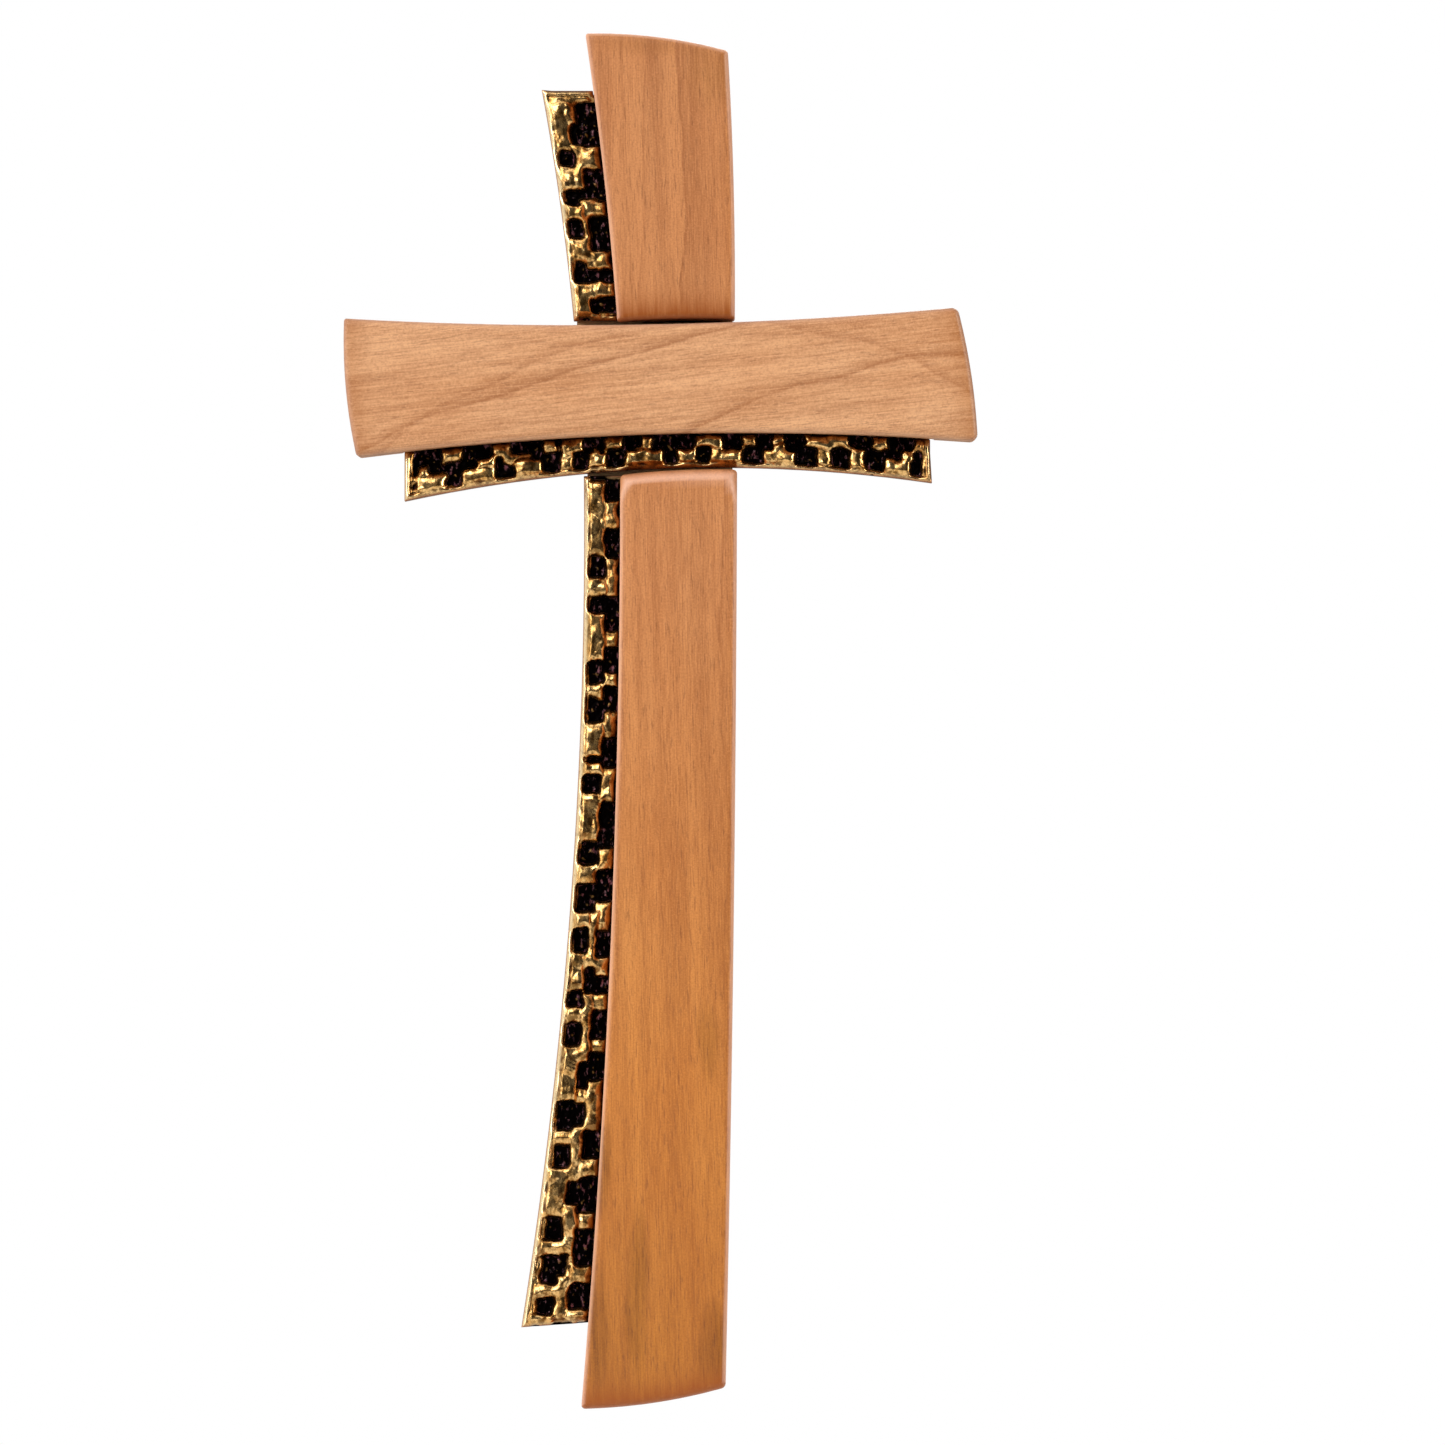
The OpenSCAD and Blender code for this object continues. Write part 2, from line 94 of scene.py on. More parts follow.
def open_loops(bm):
    """Each open edge loop of a bmesh as its vertices in order."""
    bm.edges.index_update()
    left = {e for e in bm.edges if e.is_boundary}
    loops = []
    while left:
        edge = min(left, key=lambda e: e.index)
        left.discard(edge)
        loop = list(edge.verts)
        while True:
            edge = next((e for e in loop[-1].link_edges if e in left), None)
            if edge is None:
                break
            left.discard(edge)
            vert = edge.other_vert(loop[-1])
            if vert is loop[0]:
                break
            loop.append(vert)
        loops.append(loop)
    return loops


def solid_tree(part):
    """A CAD part's mesh, ready for rays."""
    mesh = nodes[part].data
    return BVHTree.FromPolygons([v.co for v in mesh.vertices], [p.vertices for p in mesh.polygons])


def flat(verts):
    """Bmesh vertices as an array of (x, z) in metres."""
    return np.array([(v.co.x, v.co.z) for v in verts])


def signed_area(points):
    """Area of a closed outline, above zero when it runs anticlockwise as seen from the front."""
    after = np.roll(points, -1, axis=0)
    return 0.5 * np.sum(points[:, 0] * after[:, 1] - after[:, 0] * points[:, 1])


def four_sides(points):
    """A closed outline's bottom, right, top and left, each from left to right or from bottom to top."""
    lo, hi = points.min(0), points.max(0)
    n = (points - (lo + hi) / 2) / ((hi - lo) / 2)
    corner = [int(np.argmax(sx * n[:, 0] + sz * n[:, 1])) for sx, sz in ((-1, -1), (1, -1), (1, 1), (-1, 1))]
    count = len(points)

    def run(a, b):
        steps = (b - a) % count
        return points[[(a + k) % count for k in range(steps + 1)]]

    bottom, right = run(corner[0], corner[1]), run(corner[1], corner[2])
    top, left = run(corner[2], corner[3])[::-1], run(corner[3], corner[0])[::-1]
    return bottom, right, top, left


def along(line, t):
    """Points at fractions t of a polyline's length."""
    step = np.linalg.norm(np.diff(line, axis=0), axis=1)
    s = np.concatenate([[0], np.cumsum(step)]) / step.sum()
    return np.stack([np.interp(t, s, line[:, k]) for k in (0, 1)], axis=-1)


def length(line):
    return np.linalg.norm(np.diff(line, axis=0), axis=1).sum()


def patch(sides, u, v):
    """Coons patch between four sides: an array of (len(v), len(u), 2)."""
    bottom, right, top, left = sides
    across = u[None, :, None]
    up = v[:, None, None]
    low_corners = (1 - across) * (1 - up) * bottom[0] + across * (1 - up) * bottom[-1]
    high_corners = (1 - across) * up * top[0] + across * up * top[-1]
    between_ends = (1 - up) * along(bottom, u)[None] + up * along(top, u)[None]
    between_sides = (1 - across) * along(left, v)[:, None] + across * along(right, v)[:, None]
    return between_ends + between_sides - low_corners - high_corners


def distance_to(points, outline):
    """Distance from each point to a closed outline; a there-and-back line stands for an open one."""
    best = np.full(points.shape[:-1], 1e9)
    for start, run in zip(outline, np.roll(outline, -1, axis=0) - outline):
        off = points - start
        t = np.clip((off @ run) / max(run @ run, 1e-18), 0, 1)
        best = np.minimum(best, np.linalg.norm(off - t[..., None] * run, axis=-1))
    return best


def nearest_is(side, points, d):
    """Whether one side of an outline is the nearest, where d is the distance to the whole outline."""
    return distance_to(points, np.concatenate([side, side[::-1]])) <= d + 0.05 * MM


# ---- meshes --------------------------------------------------------------------------------
def grid_faces(bm, grid):
    """Adds a grid of (rows, columns, xyz) to a bmesh, and gives its vertices row by row."""
    rows, columns = grid.shape[:2]
    made = [[bm.verts.new(grid[j, i]) for i in range(columns)] for j in range(rows)]
    for j in range(rows - 1):
        for i in range(columns - 1):
            bm.faces.new((made[j][i], made[j][i + 1], made[j + 1][i + 1], made[j + 1][i]))
    return made


def border_of(made):
    """A grid's outer vertices in order, starting along its first row."""
    right = [row[-1] for row in made[:-1]]
    left = [row[0] for row in made[:0:-1]]
    return made[0][:-1] + right + made[-1][:0:-1] + left


def stitch(bm, rim, border):
    """Triangles between two closed loops that run side by side."""
    start = min(range(len(rim)), key=lambda k: (rim[k].co - border[0].co).length)
    rim = rim[start:] + rim[:start]
    rim_walk, border_walk = walked(flat(rim)), walked(flat(border))
    i = j = 0
    while i < len(rim) or j < len(border):
        if j == len(border) or (i < len(rim) and rim_walk[i + 1] <= border_walk[j + 1]):
            bm.faces.new((rim[i], rim[(i + 1) % len(rim)], border[j % len(border)]))
            i += 1
        else:
            bm.faces.new((rim[i % len(rim)], border[(j + 1) % len(border)], border[j]))
            j += 1


def walked(points):
    """Fractions of a closed outline's length at each point, with 1 added at the end."""
    step = np.linalg.norm(np.roll(points, -1, axis=0) - points, axis=1)
    return np.concatenate([[0], np.cumsum(step)]) / step.sum()


def front_on_back(name, bm, rim, grid, marks):
    """The object made of a CAD part's back and a front grid, with the marks as the front's attributes."""
    front = grid_faces(bm, grid)
    stitch(bm, rim, border_of(front))
    bmesh.ops.recalc_face_normals(bm, faces=bm.faces)
    bm.verts.index_update()
    order = np.array([v.index for row in front for v in row])
    total = len(bm.verts)
    mesh = bpy.data.meshes.new(name)
    bm.to_mesh(mesh)
    bm.free()
    for key, values in marks.items():
        whole = np.zeros(total, np.float32)
        whole[order] = values.reshape(-1)
        mesh.attributes.new(key, "FLOAT", "POINT").data.foreach_set("value", whole)
    mesh.shade_smooth()
    mesh.set_sharp_from_angle(angle=math.radians(50))
    obj = bpy.data.objects.new(name, mesh)
    bpy.context.scene.collection.objects.link(obj)
    return obj


def put_in_place_of(part, obj, mat):
    obj.data.materials.append(mat)
    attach(obj, "root")
    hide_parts(part)


def waves(x, z, seed, size, count=24):
    """Smooth seeded unevenness of about -1 to 1, with bumps of about the given size in metres."""
    rng = np.random.default_rng(seed)
    total = np.zeros_like(x)
    for _ in range(count):
        angle, phase = rng.uniform(0, 2 * math.pi, 2)
        k = 2 * math.pi / (size * rng.uniform(0.7, 1.8))
        total += np.sin(k * (math.cos(angle) * x + math.sin(angle) * z) + phase)
    return total / math.sqrt(count / 2) / 2


# ---- boards --------------------------------------------------------------------------------
EDGE_ROUND = 1.35 * MM  # radius along the boards' front edges
END_ROUND = 3.2 * MM  # radius along the long board's top end
EDGE_BAND = 2.6 * MM  # width of the closer rows along the edges
EDGE_ROWS = 9
BOARD_STEP = 1.6 * MM
BOARD_CUT = 2.8 * MM
END_FADE = 4 * MM


def spaced(total):
    """Fractions of a side: close together within the edge band at both ends, then a board step apart."""
    near = EDGE_BAND * (1 - np.cos(np.linspace(0, math.pi / 2, EDGE_ROWS)))
    count = max(3, int((total - 2 * EDGE_BAND) / BOARD_STEP) + 1)
    middle = np.linspace(EDGE_BAND, total - EDGE_BAND, count)
    return np.concatenate([near[:-1], middle, total - near[:-1][::-1]]) / total


def end_mark(upright, way):
    """Darker ends: stained end grain, and painted shade at the upper shaft's foot under the crossbar. It
    fades from both ends, and an upright board has more at its bottom.
    """
    first, last = (1.3, 0.2) if upright else (0.5, 0.5)
    from_last = way.max() - way
    return first * np.exp(-((way / END_FADE) ** 2)) + last * np.exp(-((from_last / END_FADE) ** 2))


def board(part, top_round, mat):
    """A board with softly sanded front edges; top_round is the radius along its top end."""
    low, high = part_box(part)
    front = -low.y
    bm, rim = section(part, front - max(BOARD_CUT, 1.2 * top_round + 0.3 * MM))
    outline = flat(rim)
    sides = four_sides(outline)
    across, up = length(sides[0]), length(sides[1])
    u, v = spaced(across), spaced(up)
    points = patch(sides, u, v)
    x, z = points[..., 0], points[..., 1]
    d = distance_to(points, outline)

    near_top = np.clip(1 - (high.z - z - 2 * MM) / (5 * MM), 0, 1)
    radius = EDGE_ROUND * (1 + 0.12 * waves(x, z, 3, 30 * MM))
    radius = radius + (top_round - EDGE_ROUND) * near_top * near_top
    inside = np.clip(radius - d, 0, None)
    drop = radius - np.sqrt(np.clip(radius**2 - inside**2, 0, None))
    drop += 0.12 * MM * np.exp(-d / (3 * MM)) + 0.02 * MM * (1 + waves(x, z, 5, 14 * MM))
    grid = np.stack([x, np.clip(drop, 0, None) - front, z], -1)

    upright = high.z - low.z > high.x - low.x
    way = (v * up)[:, None] + 0 * u if upright else (u * across)[None, :] + 0 * v[:, None]
    # painted highlight: a lighter band along the rounded front edges, weak on the bottom edge and set further
    # down the long board's rounded top end
    underside = nearest_is(sides[0], points, d)
    highlight_line = 0.9 * (top_round - EDGE_ROUND) * near_top
    painted_edge_highlight = np.clip(1.15 - np.abs(d - highlight_line) / (0.5 * radius), 0, 1)
    marks = {"end": end_mark(upright, way), "edge": painted_edge_highlight * np.where(underside, 0.2, 1)}
    obj = front_on_back(part.replace("_panel", "_board"), bm, rim, grid, marks)
    put_in_place_of(part, obj, mat)


# ---- chased castings -----------------------------------------------------------------------
BOARDS = ("crossbar_panel", "upper_shaft_panel", "lower_shaft_panel")
FLOOR_DEPTH = 4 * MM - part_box("crossbar_relief")[1].y  # the castings are 4 mm thick at their floor
CELL = 0.2 * MM
PLAIN_TOP = 2 * MM  # tops above this are blocks, those below it the plain ground around them
MARGIN = 2.4 * MM  # how far in from the cells the tops are domed
DOME = 1.0 * MM
JOINT = 0.9 * MM  # half the width of the dips between blocks
JOINT_DEPTH = 0.32 * MM
FACET = 3.7 * MM
FACET_DEPTH = 0.8 * MM
GROOVE_PLACE = 1.2 * MM
GROOVE_DEPTH = 0.55 * MM
GROOVE_WIDTH = 0.2 * MM
HATCH_PITCH = 0.85 * MM
HATCH_DEPTH = 0.05 * MM
# how far from the boards the painted reflection of the wood and the painted shade reach
BOARD_SHADE_REACH = 3 * MM


def shifted(h, corners):
    """The four straight or the four diagonal neighbours of every cell."""
    p = np.pad(h, 1, mode="edge")
    if corners:
        return [p[:-2, :-2], p[2:, 2:], p[2:, :-2], p[:-2, 2:]]
    return [p[:-2, 1:-1], p[2:, 1:-1], p[1:-1, :-2], p[1:-1, 2:]]


def eroded(h, slope, passes):
    """Turns upright block sides into slopes that rise by slope times the distance from a step."""
    for _ in range(passes):
        straight = np.minimum.reduce(shifted(h, False)) + slope * CELL
        diagonal = np.minimum.reduce(shifted(h, True)) + slope * CELL * 1.414
        h = np.minimum(h, np.minimum(straight, diagonal))
    return h


def way_in(mask, reach):
    """Distance in from the edge of a mask, no more than reach."""
    return eroded(mask * reach, 1.0, int(reach / CELL))


def grown(h):
    """Every block one cell wider all round."""
    return np.maximum.reduce([*shifted(h, False), h])


def blurred(h, passes):
    for _ in range(passes):
        h = (sum(shifted(h, False)) + 4 * h) / 8
    return h


def gouges(x, z, seed, spacing):
    """Overlapping scooped facets with crisp ridges between them, from about -0.4 to 1.2."""
    rng = np.random.default_rng(seed)
    lo, hi = (x.min(), z.min()), (x.max(), z.max())
    nx, nz = int((hi[0] - lo[0]) / spacing) + 3, int((hi[1] - lo[1]) / spacing) + 3
    best = np.full(x.shape, 1e3)
    for i in range(nx):
        for j in range(nz):
            ox, oz = rng.uniform(-0.45, 0.45, 2)
            lift = rng.uniform(0, 0.3)
            tilt_x, tilt_z = rng.uniform(-0.6, 0.6, 2)
            px, pz = lo[0] + (i - 0.5 + ox) * spacing, lo[1] + (j - 0.5 + oz) * spacing
            near = (np.abs(x - px) < 1.8 * spacing) & (np.abs(z - pz) < 1.8 * spacing)
            dx, dz = (x[near] - px) / spacing, (z[near] - pz) / spacing
            scoop = lift + tilt_x * dx + tilt_z * dz + 0.75 * (dx * dx + dz * dz)
            best[near] = np.minimum(best[near], scoop)
    return np.clip(best, -0.4, 1.2)


def block_heights(part):
    """Heights above the floor of the CAD casting's raised blocks."""
    heights = {round((-v.co.y - FLOOR_DEPTH) / MM, 2) * MM for v in nodes[part].data.vertices}
    return sorted(h for h in heights if h > PLAIN_TOP)


def cad_heights(part, x, z, seed):
    """Heights of the CAD's blocks, with their edges wandering a little as hand-cut ones do."""
    tree = solid_tree(part)
    wx = x + 0.28 * MM * waves(x, z, seed, 3.4 * MM)
    wz = z + 0.28 * MM * waves(x, z, seed + 1, 3.4 * MM)
    raw = np.zeros_like(x)
    for index in np.ndindex(x.shape):
        hit = tree.ray_cast(Vector((wx[index], -0.05, wz[index])), Vector((0, 1, 0)))[0]
        raw[index] = max(-hit.y - FLOOR_DEPTH, 0) if hit is not None else 0.0
    return grown(raw)


def under_boards(x, z):
    """1 where a board covers the castings, and 0 elsewhere."""
    covered = np.zeros_like(x)
    trees = [solid_tree(part) for part in BOARDS]
    for index in np.ndindex(x.shape):
        ray = Vector((x[index], -FLOOR_DEPTH - 0.1 * MM, z[index])), Vector((0, -1, 0))
        covered[index] = any(tree.ray_cast(*ray)[0] is not None for tree in trees)
    return covered


def chased_heights(part, x, z, d, seed):
    """Heights of the chased face above the floor, where d is the distance in from the casting's outline."""
    raw = cad_heights(part, x, z, seed)
    plateau = blurred((raw > 0.8 * MM).astype(float), 20) > 0.5
    depth_in = blurred(way_in(plateau, MARGIN), 3)
    own = np.zeros_like(x)
    for level in block_heights(part):
        own = np.maximum(own, way_in(np.abs(raw - level) < 0.1 * MM, JOINT))

    # tops: scooped facets and dips between the blocks, a lower ground, fine hatching and a groove by the edge
    raised = np.clip((blurred(raw, 3) - 1.65 * MM) / (0.4 * MM), 0, 1)
    facets = np.clip(gouges(x, z, seed + 2, FACET), 0, None)
    top = np.where(plateau, np.maximum(blurred(raw, 4), 1.5 * MM), 0)
    top -= raised * (FACET_DEPTH * facets + JOINT_DEPTH * (1 - blurred(own, 2) / JOINT) ** 1.5)
    top += 0.14 * MM * raised * waves(x, z, seed + 6, 5 * MM)
    top -= 0.10 * MM * (1 - raised) * (1 + waves(x, z, seed + 3, 4 * MM))
    hatch = np.sin((x * 0.55 + z) * 2 * math.pi / HATCH_PITCH + 1.2 * waves(x, z, seed + 7, 6 * MM))
    hatched = np.clip(waves(x, z, seed + 8, 9 * MM) + 0.3, 0, 1)
    top -= HATCH_DEPTH * hatched * (1 + hatch) * plateau
    top -= GROOVE_DEPTH * np.exp(-(((d - GROOVE_PLACE) / GROOVE_WIDTH) ** 2)) * (1 - 0.5 * hatched)

    # sides: domed towards the cells and bevelled at the outline
    h = top - DOME * np.clip(1 - depth_in / MARGIN, 0, 1) ** 2
    h = np.where(plateau, np.clip(h, 0.5 * MM, None), 0)
    h = np.minimum(h, 0.55 * MM + 1.15 * d)
    h = blurred(eroded(h, 4.5, 3), 3)

    # surface: gritty floors and nearly smooth tops
    floor = np.clip(1 - h / (0.5 * MM), 0, 1)
    grit = 0.12 * MM * waves(x, z, seed + 4, 1.7 * MM, 40) + 0.06 * MM * waves(x, z, seed + 9, 0.9 * MM, 40)
    h = h + grit * floor * np.clip(d / MM, 0, 1)
    return h + 0.012 * MM * waves(x, z, seed + 5, 0.8 * MM, 40) * (1 - floor)


def casting(part, seed, mat):
    """The casting with bevelled, hand-chased blocks in place of the CAD's plain ones."""
    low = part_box(part)[0]
    bm, rim = section(part, FLOOR_DEPTH - 0.5 * MM)
    outline = flat(rim)
    sides = four_sides(outline)
    u = np.linspace(0, 1, int(length(sides[0]) / CELL))
    v = np.linspace(0, 1, int(length(sides[1]) / CELL))
    points = patch(sides, u, v)
    x, z = points[..., 0], points[..., 1]
    d = distance_to(points, outline)
    covered = under_boards(x, z)
    h = chased_heights(part, x, z, d, seed)
    h = np.where(covered > 0, np.clip(h, -1 * MM, 0.12 * MM), h)
    grid = np.stack([x, np.clip(-(FLOOR_DEPTH + h), low.y, None), z], -1)

    # painted highlight on the left side's bevel, weak on the other sides; it feeds the rim and polish marks
    bevel = np.clip(1.8 - d / (0.6 * MM), 0, 1) * np.where(nearest_is(sides[3], points, d), 1, 0.2)
    marks = {
        "polish": np.maximum(np.clip(h / (1.6 * MM), 0, 1), bevel),
        "hollow": np.clip((blurred(h, 16) - h) / (0.3 * MM), -1, 1),
        "front": np.ones_like(x),
        "rim": bevel,
        "lip": np.clip(1 - d / (0.35 * MM), 0, 1),
        "shade": 1 - way_in(1 - covered, BOARD_SHADE_REACH) / BOARD_SHADE_REACH,
    }
    obj = front_on_back(part.replace("_relief", "_casting"), bm, rim, grid, marks)
    put_in_place_of(part, obj, mat)


# ---- material helpers ----------------------------------------------------------------------
def material(name):
    mat = bpy.data.materials.new(name)
    mat.use_nodes = True
    tree = mat.node_tree
    return mat, tree, tree.nodes["Principled BSDF"]


def shader_node(tree, kind, inputs=None, **settings):
    """A new shader node; each input is a link or a constant set on the socket."""
    made = tree.nodes.new(kind)
    for key, value in settings.items():
        setattr(made, key, value)
    for key, value in (inputs or {}).items():
        if isinstance(value, bpy.types.NodeSocket):
            tree.links.new(value, made.inputs[key])
        else:
            made.inputs[key].default_value = value
    return made


def ramp(tree, source, stops):
    """A ramp of greys; each stop is a place and a value."""
    made = shader_node(tree, "ShaderNodeValToRGB", {0: source})
    elements = made.color_ramp.elements
    while len(elements) < len(stops):
        elements.new(0.5)
    for element, (place, value) in zip(elements, stops):
        element.position = place
        element.color = (value, value, value, 1)
    return made.outputs["Color"]


def rise(tree, source, start, stop, amount=1.0):
    """0 where the source is below start, going up to the amount at stop."""
    return ramp(tree, source, [(start, 0.0), (stop, amount)])


def fall(tree, source, start, stop, amount=1.0):
    """The amount where the source is below start, going down to 0 at stop."""
    return ramp(tree, source, [(start, amount), (stop, 0.0)])


def mixed(tree, factor, a, b, blend="MIX"):
    made = shader_node(tree, "ShaderNodeMix", data_type="RGBA", blend_type=blend)
    for index, value in ((0, factor), (6, a), (7, b)):
        if isinstance(value, bpy.types.NodeSocket):
            tree.links.new(value, made.inputs[index])
        else:
            made.inputs[index].default_value = (*value, 1) if isinstance(value, tuple) else value
    return made.outputs[2]


def sums(tree, operation, a, b):
    return shader_node(tree, "ShaderNodeMath", {0: a, 1: b}, operation=operation).outputs[0]


def times(tree, a, b):
    return sums(tree, "MULTIPLY", a, b)


def plus(tree, a, b):
    return sums(tree, "ADD", a, b)


def minus(tree, a, b):
    return sums(tree, "SUBTRACT", a, b)


def noise(tree, place, scale, detail=3.0, rough=0.5, distortion=0.0):
    inputs = {"Vector": place, "Scale": scale, "Detail": detail, "Roughness": rough, "Distortion": distortion}
    return shader_node(tree, "ShaderNodeTexNoise", inputs).outputs["Fac"]


def mark(tree, key):
    """One of the attributes that front_on_back stores on a mesh."""
    return shader_node(tree, "ShaderNodeAttribute", attribute_name=key).outputs["Fac"]


def placed(tree, scale=(1, 1, 1), turn=(0, 0, 0), shift=(0, 0, 0)):
    """The object's coordinates, turned first and then stretched along the turned axes."""
    coordinates = shader_node(tree, "ShaderNodeTexCoord").outputs["Object"]
    turned = shader_node(tree, "ShaderNodeMapping", {"Vector": coordinates, "Rotation": turn}).outputs[0]
    stretched = {"Vector": turned, "Scale": scale, "Location": shift}
    return shader_node(tree, "ShaderNodeMapping", stretched).outputs[0]


def bumped(tree, shader, height, strength, distance):
    bump = shader_node(tree, "ShaderNodeBump", {"Height": height, "Strength": strength, "Distance": distance})
    tree.links.new(bump.outputs[0], shader.inputs["Normal"])


def linear(r, g, b):
    """Display colour 0-255 to linear."""
    return tuple(((c / 255 + 0.055) / 1.055) ** 2.4 if c > 10 else c / 255 / 12.92 for c in (r, g, b))


def scaled(colour, factor):
    return tuple(min(1, c * factor) for c in colour)


# ---- wood ----------------------------------------------------------------------------------
# a growth line's places and widths are in metres in the frame, and its curve is in 1/metre
Line = namedtuple("Line", "across slope curve width fade strength")
Smudge = namedtuple("Smudge", "across up wide tall strength")
# a shade tint is painted shade: the wood grows darker and yellower from start to stop, in metres below the
# frame's middle
Tint = namedtuple("Tint", "start stop colour")
Wood = namedtuple("Wood", "light dark line")

CHERRY = Wood(linear(199, 133, 80), linear(183, 113, 60), linear(142, 78, 32))
PEAR = Wood(linear(213, 160, 115), linear(192, 131, 83), linear(150, 90, 46))
BEECH = Wood(linear(214, 180, 136), linear(200, 162, 116), linear(170, 128, 84))
PALE_BEECH = Wood(linear(222, 190, 148), linear(208, 172, 128), linear(180, 140, 96))
# painted highlight colours for the boards' rounded edges
CHERRY_EDGE_HIGHLIGHT = linear(246, 196, 168)
PEAR_EDGE_HIGHLIGHT = linear(176, 138, 120)
SMUDGE = (0.54, 0.5, 0.1)


def wood_fields(tree, axis, turn, shift):
    """The noises of wood with its grain along x or z, from broad clouds to fine hairs."""

    def stretched(share):
        scale = (share, 1, 1) if axis == "x" else (1, 1, share)
        return placed(tree, scale, (0, turn, 0), shift)

    strands = stretched(0.04)
    return {
        "cloud": noise(tree, stretched(1), 34, 3.0, 0.55),
        "broad": noise(tree, stretched(0.35), 60, 3.0, 0.5),
        "bands": noise(tree, strands, 240, 2.0, 0.5),
        "fibre": noise(tree, strands, 900, 3.0, 0.6),
        "fleck": noise(tree, stretched(0.15 if axis == "x" else 0.1), 2900, 2.0, 0.5),
        "hair": noise(tree, strands, 3600, 2.0, 0.6),
        "speckle": noise(tree, placed(tree), 2300, 3.0, 0.65),
    }


def growth_line(tree, run, side, line):
    """One dark growth line: sharp on one side and fading over a wider band on the other, from 0 to 1."""
    path = times(tree, times(tree, run, run), line.curve)
    path = plus(tree, plus(tree, path, times(tree, run, line.slope)), line.across)
    off = minus(tree, side, path)
    place = plus(tree, times(tree, off, 0.5 / line.fade), 0.5)
    thin = 0.5 * line.width / line.fade
    return ramp(tree, place, [(0.0, 0.0), (0.5 - thin, 0.05), (0.5, 1.0), (0.5 + 2 * thin, 0.42), (1.0, 0.0)])


def smudge_mark(tree, side, z, smudge):
    """A soft oval patch in the frame, from 0 to the smudge's strength."""
    dx = sums(tree, "DIVIDE", minus(tree, side, smudge.across), smudge.wide)
    dz = sums(tree, "DIVIDE", minus(tree, z, smudge.up), smudge.tall)
    reach = plus(tree, times(tree, dx, dx), times(tree, dz, dz))
    return rise(tree, minus(tree, 1.0, reach), 0.0, 0.9, smudge.strength)


def grain_tone(tree, field, colours, pore_depth, run, side, lines):
    """The colour of clean wood, from its broad bands down to its pores."""
    light, dark, line = colours
    tone = mixed(tree, rise(tree, field["broad"], 0.32, 0.7, 0.8), light, dark)
    tone = mixed(tree, fall(tree, field["fibre"], 0.36, 0.56, 0.22), tone, line)
    tone = mixed(tree, fall(tree, field["bands"], 0.34, 0.5, 0.3), tone, line)
    tone = mixed(tree, rise(tree, field["bands"], 0.5, 0.66, 0.5), tone, scaled(light, 1.12))
    for growth in lines:
        amount = times(tree, growth_line(tree, run, side, growth), growth.strength)
        tone = mixed(tree, amount, tone, line)
    tone = mixed(tree, fall(tree, field["cloud"], 0.30, 0.60, 0.34), tone, dark)
    tone = mixed(tree, fall(tree, field["fleck"], 0.30, 0.42, pore_depth), tone, scaled(line, 0.55))
    tone = mixed(tree, fall(tree, field["hair"], 0.36, 0.5, 0.26), tone, line)
    tone = mixed(tree, rise(tree, field["hair"], 0.52, 0.66, 0.26), tone, scaled(light, 1.25))
    tone = mixed(tree, fall(tree, field["speckle"], 0.34, 0.5, 0.3), tone, line)
    return mixed(tree, rise(tree, field["speckle"], 0.52, 0.7, 0.3), tone, scaled(light, 1.3))


def wood(name, colours, axis, turn=0.0, shift=(0, 0, 0), pore_depth=0.5, edge_highlight_tone=CHERRY_EDGE_HIGHLIGHT, **features):
    """Fine-grained wood with its grain along x or z; the features are its lines, its shade tints (painted
    shade) and its smudges.
    """
    mat, tree, shader = material(name)
    field = wood_fields(tree, axis, turn, shift)
    place = shader_node(tree, "ShaderNodeTexCoord").outputs["Object"]
    parts = shader_node(tree, "ShaderNodeSeparateXYZ", {0: place})
    x, z = parts.outputs["X"], parts.outputs["Z"]
    run, side = (z, x) if axis == "z" else (x, z)
    side = plus(tree, side, times(tree, minus(tree, field["cloud"], 0.5), 0.006))
    tone = grain_tone(tree, field, colours, pore_depth, run, side, features.get("lines", ()))

    # ageing and painted light: lengths made darker and yellower as painted shade, brown smudges, darker ends
    # (stain, and painted shade under the crossbar) and a painted highlight on the edges
    for start, stop, colour in features.get("shade_tints", ()):
        shade_tinted = mixed(tree, 1.0, tone, colour, "MULTIPLY")
        tone = mixed(tree, rise(tree, times(tree, z, -1.0), start, stop), tone, shade_tinted)
    breakup = times(
        tree,
        ramp(tree, field["broad"], [(0.35, 0.65), (0.6, 1.0)]),
        ramp(tree, field["fibre"], [(0.38, 1.0), (0.58, 0.6)]),
    )
    for smudge in features.get("smudges", ()):
        smudged = mixed(tree, 1.0, tone, SMUDGE, "MULTIPLY")
        tone = mixed(tree, times(tree, smudge_mark(tree, side, z, smudge), breakup), tone, smudged)
    # darker ends: stained end grain, with painted shade at the upper shaft's foot under the crossbar
    ragged = times(tree, mark(tree, "end"), ramp(tree, field["fibre"], [(0.3, 1.0), (0.65, 0.6)]))
    line = colours.line
    tone = mixed(tree, ragged, tone, (line[0] * 1.05, line[1] * 0.85, line[2] * 0.06))
    # painted highlight on the rounded edges
    tone = mixed(tree, times(tree, mark(tree, "edge"), 0.5), tone, edge_highlight_tone)

    tree.links.new(tone, shader.inputs["Base Color"])
    tree.links.new(ramp(tree, field["fleck"], [(0.3, 0.62), (0.5, 0.46)]), shader.inputs["Roughness"])
    height = plus(tree, times(tree, field["fleck"], 0.8), times(tree, field["speckle"], 0.5))
    bumped(tree, shader, height, 0.25, 0.08 * MM)
    shader.inputs["Specular IOR Level"].default_value = 0.4
    shader.inputs["Coat Weight"].default_value = 0.12
    shader.inputs["Coat Roughness"].default_value = 0.28
    return mat


